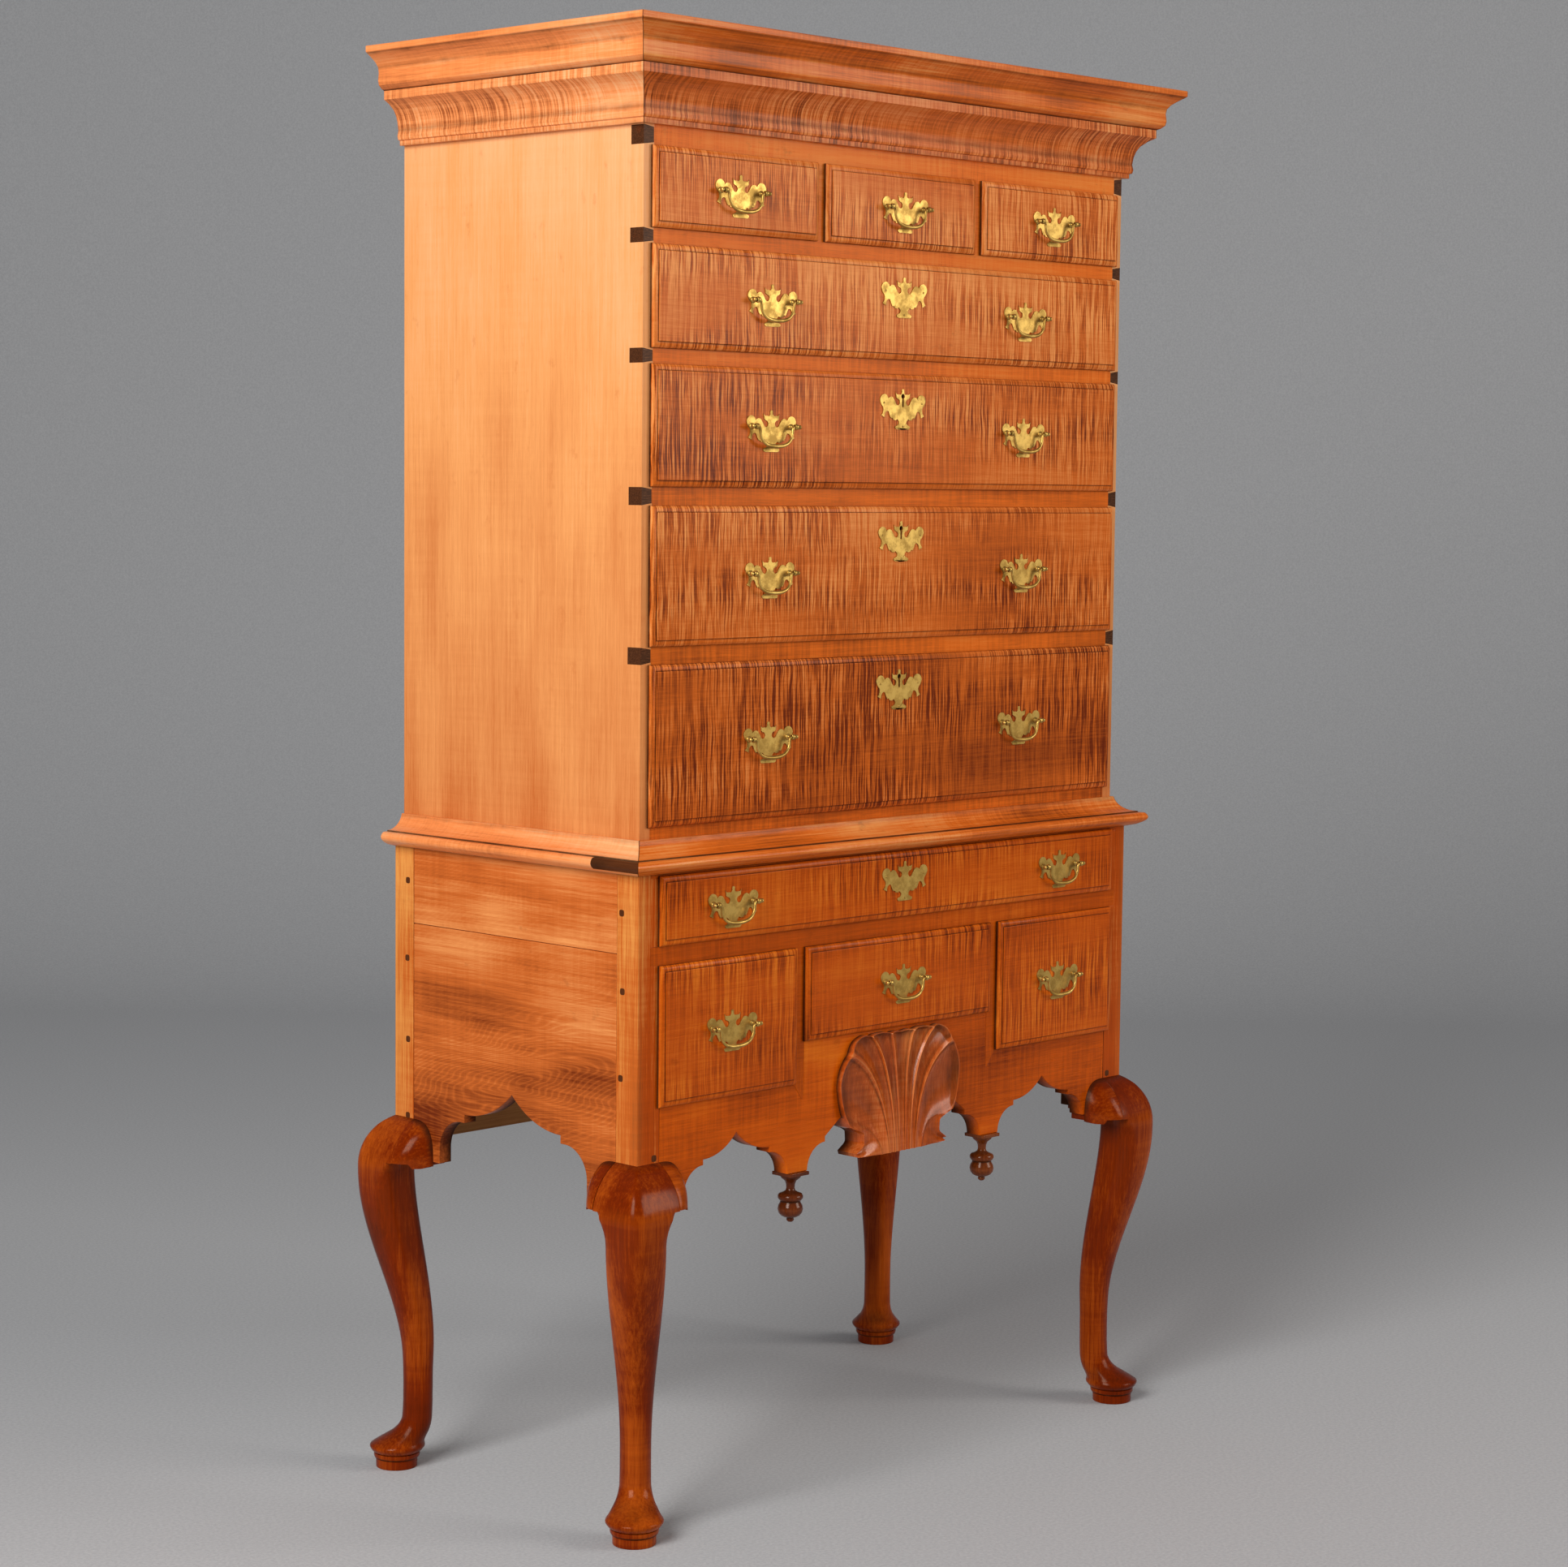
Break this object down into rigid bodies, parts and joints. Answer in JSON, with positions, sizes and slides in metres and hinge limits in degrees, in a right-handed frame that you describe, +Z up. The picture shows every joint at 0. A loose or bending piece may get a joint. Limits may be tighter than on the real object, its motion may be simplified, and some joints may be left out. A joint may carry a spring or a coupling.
{
  "type": "highboy chest of drawers",
  "caption": "Tall chest of drawers on a lower case with cabriole legs, a scalloped apron with a carved shell, a moulded cornice and brass bail handles.",
  "frame": {"origin": "on the floor, in the middle of the box round the whole piece", "axes": "+Z up, +X to the right of someone who faces the drawers, -Y the way the drawers pull out"},
  "size_m": [1.042, 0.551, 1.853],
  "materials": {
    "curly_maple": "old shellac, satin to glossy",
    "maple": "old shellac, satin",
    "dark_maple": "polished, darkened",
    "pine": "bare, aged",
    "brass": "polished, aged"
  },
  "bodies": {
    "lower_case": {"leg_front_left": "dark_maple", "leg_front_right": "dark_maple", "leg_rear_left": "dark_maple", "leg_rear_right": "dark_maple", "knee_brackets": "dark_maple", "lower_side_left": "maple", "lower_side_right": "maple", "lower_back": "pine", "apron": "maple", "apron_shell": "dark_maple", "lower_drawer_frame": "maple", "pendants": "dark_maple", "waist_moulding": "maple"},
    "upper_case": {"upper_side_left": "maple", "upper_side_right": "maple", "upper_top_and_bottom": "maple", "upper_drawer_frame": "maple", "upper_back": "pine", "cornice": "maple"},
    "drawer_small_left": {"drawer_small_left": "curly_maple", "brasses_small_left": "brass"},
    "drawer_small_middle": {"drawer_small_middle": "curly_maple", "brasses_small_middle": "brass"},
    "drawer_small_right": {"drawer_small_right": "curly_maple", "brasses_small_right": "brass"},
    "drawer_long_1": {"drawer_long_1": "curly_maple", "brasses_long_1": "brass"},
    "drawer_long_2": {"drawer_long_2": "curly_maple", "brasses_long_2": "brass"},
    "drawer_long_3": {"drawer_long_3": "curly_maple", "brasses_long_3": "brass"},
    "drawer_long_4": {"drawer_long_4": "curly_maple", "brasses_long_4": "brass"},
    "drawer_lower_long": {"drawer_lower_long": "curly_maple", "brasses_lower_long": "brass"},
    "drawer_lower_left": {"drawer_lower_left": "curly_maple", "brasses_lower_left": "brass"},
    "drawer_lower_middle": {"drawer_lower_middle": "curly_maple", "brasses_lower_middle": "brass"},
    "drawer_lower_right": {"drawer_lower_right": "curly_maple", "brasses_lower_right": "brass"},
    "bail_small_left": {"bail_small_left": "brass"},
    "bail_small_middle": {"bail_small_middle": "brass"},
    "bail_small_right": {"bail_small_right": "brass"},
    "bail_long_1_left": {"bail_long_1_left": "brass"},
    "bail_long_1_right": {"bail_long_1_right": "brass"},
    "bail_long_2_left": {"bail_long_2_left": "brass"},
    "bail_long_2_right": {"bail_long_2_right": "brass"},
    "bail_long_3_left": {"bail_long_3_left": "brass"},
    "bail_long_3_right": {"bail_long_3_right": "brass"},
    "bail_long_4_left": {"bail_long_4_left": "brass"},
    "bail_long_4_right": {"bail_long_4_right": "brass"},
    "bail_lower_long_left": {"bail_lower_long_left": "brass"},
    "bail_lower_long_right": {"bail_lower_long_right": "brass"},
    "bail_lower_left": {"bail_lower_left": "brass"},
    "bail_lower_middle": {"bail_lower_middle": "brass"},
    "bail_lower_right": {"bail_lower_right": "brass"},
    "lock_bolt_long_2": {"lock_bolt_long_2": "brass"},
    "lock_bolt_long_3": {"lock_bolt_long_3": "brass"},
    "lock_bolt_long_4": {"lock_bolt_long_4": "brass"}
  },
  "joints": [
    {"name": "upper_case_lift", "type": "slide", "parent": "lower_case", "child": "upper_case", "axis": [0, 0, 1], "range_m": [0, 0.25]},
    {"name": "drawer_small_left_slide", "type": "slide", "parent": "upper_case", "child": "drawer_small_left", "axis": [0, -1, 0], "range_m": [0, 0.33]},
    {"name": "drawer_small_middle_slide", "type": "slide", "parent": "upper_case", "child": "drawer_small_middle", "axis": [0, -1, 0], "range_m": [0, 0.33]},
    {"name": "drawer_small_right_slide", "type": "slide", "parent": "upper_case", "child": "drawer_small_right", "axis": [0, -1, 0], "range_m": [0, 0.33]},
    {"name": "drawer_long_1_slide", "type": "slide", "parent": "upper_case", "child": "drawer_long_1", "axis": [0, -1, 0], "range_m": [0, 0.33]},
    {"name": "drawer_long_2_slide", "type": "slide", "parent": "upper_case", "child": "drawer_long_2", "axis": [0, -1, 0], "range_m": [0, 0.33]},
    {"name": "drawer_long_3_slide", "type": "slide", "parent": "upper_case", "child": "drawer_long_3", "axis": [0, -1, 0], "range_m": [0, 0.33]},
    {"name": "drawer_long_4_slide", "type": "slide", "parent": "upper_case", "child": "drawer_long_4", "axis": [0, -1, 0], "range_m": [0, 0.33]},
    {"name": "drawer_lower_long_slide", "type": "slide", "parent": "lower_case", "child": "drawer_lower_long", "axis": [0, -1, 0], "range_m": [0, 0.33]},
    {"name": "drawer_lower_left_slide", "type": "slide", "parent": "lower_case", "child": "drawer_lower_left", "axis": [0, -1, 0], "range_m": [0, 0.33]},
    {"name": "drawer_lower_middle_slide", "type": "slide", "parent": "lower_case", "child": "drawer_lower_middle", "axis": [0, -1, 0], "range_m": [0, 0.33]},
    {"name": "drawer_lower_right_slide", "type": "slide", "parent": "lower_case", "child": "drawer_lower_right", "axis": [0, -1, 0], "range_m": [0, 0.33]},
    {"name": "bail_small_left_swing", "type": "hinge", "parent": "drawer_small_left", "child": "bail_small_left", "pos_m": [-0.30167, -0.2305, 1.6605], "axis": [-1, 0, 0], "range_deg": [0, 110]},
    {"name": "bail_small_middle_swing", "type": "hinge", "parent": "drawer_small_middle", "child": "bail_small_middle", "pos_m": [0, -0.2305, 1.6605], "axis": [-1, 0, 0], "range_deg": [0, 110]},
    {"name": "bail_small_right_swing", "type": "hinge", "parent": "drawer_small_right", "child": "bail_small_right", "pos_m": [0.30167, -0.2305, 1.6605], "axis": [-1, 0, 0], "range_deg": [0, 110]},
    {"name": "bail_long_1_left_swing", "type": "hinge", "parent": "drawer_long_1", "child": "bail_long_1_left", "pos_m": [-0.244, -0.2305, 1.5305], "axis": [-1, 0, 0], "range_deg": [0, 110]},
    {"name": "bail_long_1_right_swing", "type": "hinge", "parent": "drawer_long_1", "child": "bail_long_1_right", "pos_m": [0.244, -0.2305, 1.5305], "axis": [-1, 0, 0], "range_deg": [0, 110]},
    {"name": "bail_long_2_left_swing", "type": "hinge", "parent": "drawer_long_2", "child": "bail_long_2_left", "pos_m": [-0.244, -0.2305, 1.37525], "axis": [-1, 0, 0], "range_deg": [0, 110]},
    {"name": "bail_long_2_right_swing", "type": "hinge", "parent": "drawer_long_2", "child": "bail_long_2_right", "pos_m": [0.244, -0.2305, 1.37525], "axis": [-1, 0, 0], "range_deg": [0, 110]},
    {"name": "bail_long_3_left_swing", "type": "hinge", "parent": "drawer_long_3", "child": "bail_long_3_left", "pos_m": [-0.244, -0.2305, 1.19275], "axis": [-1, 0, 0], "range_deg": [0, 110]},
    {"name": "bail_long_3_right_swing", "type": "hinge", "parent": "drawer_long_3", "child": "bail_long_3_right", "pos_m": [0.244, -0.2305, 1.19275], "axis": [-1, 0, 0], "range_deg": [0, 110]},
    {"name": "bail_long_4_left_swing", "type": "hinge", "parent": "drawer_long_4", "child": "bail_long_4_left", "pos_m": [-0.244, -0.2305, 0.986], "axis": [-1, 0, 0], "range_deg": [0, 110]},
    {"name": "bail_long_4_right_swing", "type": "hinge", "parent": "drawer_long_4", "child": "bail_long_4_right", "pos_m": [0.244, -0.2305, 0.986], "axis": [-1, 0, 0], "range_deg": [0, 110]},
    {"name": "bail_lower_long_left_swing", "type": "hinge", "parent": "drawer_lower_long", "child": "bail_lower_long_left", "pos_m": [-0.3185, -0.2455, 0.785], "axis": [-1, 0, 0], "range_deg": [0, 110]},
    {"name": "bail_lower_long_right_swing", "type": "hinge", "parent": "drawer_lower_long", "child": "bail_lower_long_right", "pos_m": [0.3185, -0.2455, 0.785], "axis": [-1, 0, 0], "range_deg": [0, 110]},
    {"name": "bail_lower_left_swing", "type": "hinge", "parent": "drawer_lower_left", "child": "bail_lower_left", "pos_m": [-0.31825, -0.2455, 0.63], "axis": [-1, 0, 0], "range_deg": [0, 110]},
    {"name": "bail_lower_middle_swing", "type": "hinge", "parent": "drawer_lower_middle", "child": "bail_lower_middle", "pos_m": [0, -0.2455, 0.657], "axis": [-1, 0, 0], "range_deg": [0, 110]},
    {"name": "bail_lower_right_swing", "type": "hinge", "parent": "drawer_lower_right", "child": "bail_lower_right", "pos_m": [0.31825, -0.2455, 0.63], "axis": [-1, 0, 0], "range_deg": [0, 110]},
    {"name": "lock_bolt_long_2_throw", "type": "slide", "parent": "drawer_long_2", "child": "lock_bolt_long_2", "axis": [0, 0, 1], "range_m": [0, 0.008]},
    {"name": "lock_bolt_long_3_throw", "type": "slide", "parent": "drawer_long_3", "child": "lock_bolt_long_3", "axis": [0, 0, 1], "range_m": [0, 0.008]},
    {"name": "lock_bolt_long_4_throw", "type": "slide", "parent": "drawer_long_4", "child": "lock_bolt_long_4", "axis": [0, 0, 1], "range_m": [0, 0.008]}
  ]
}
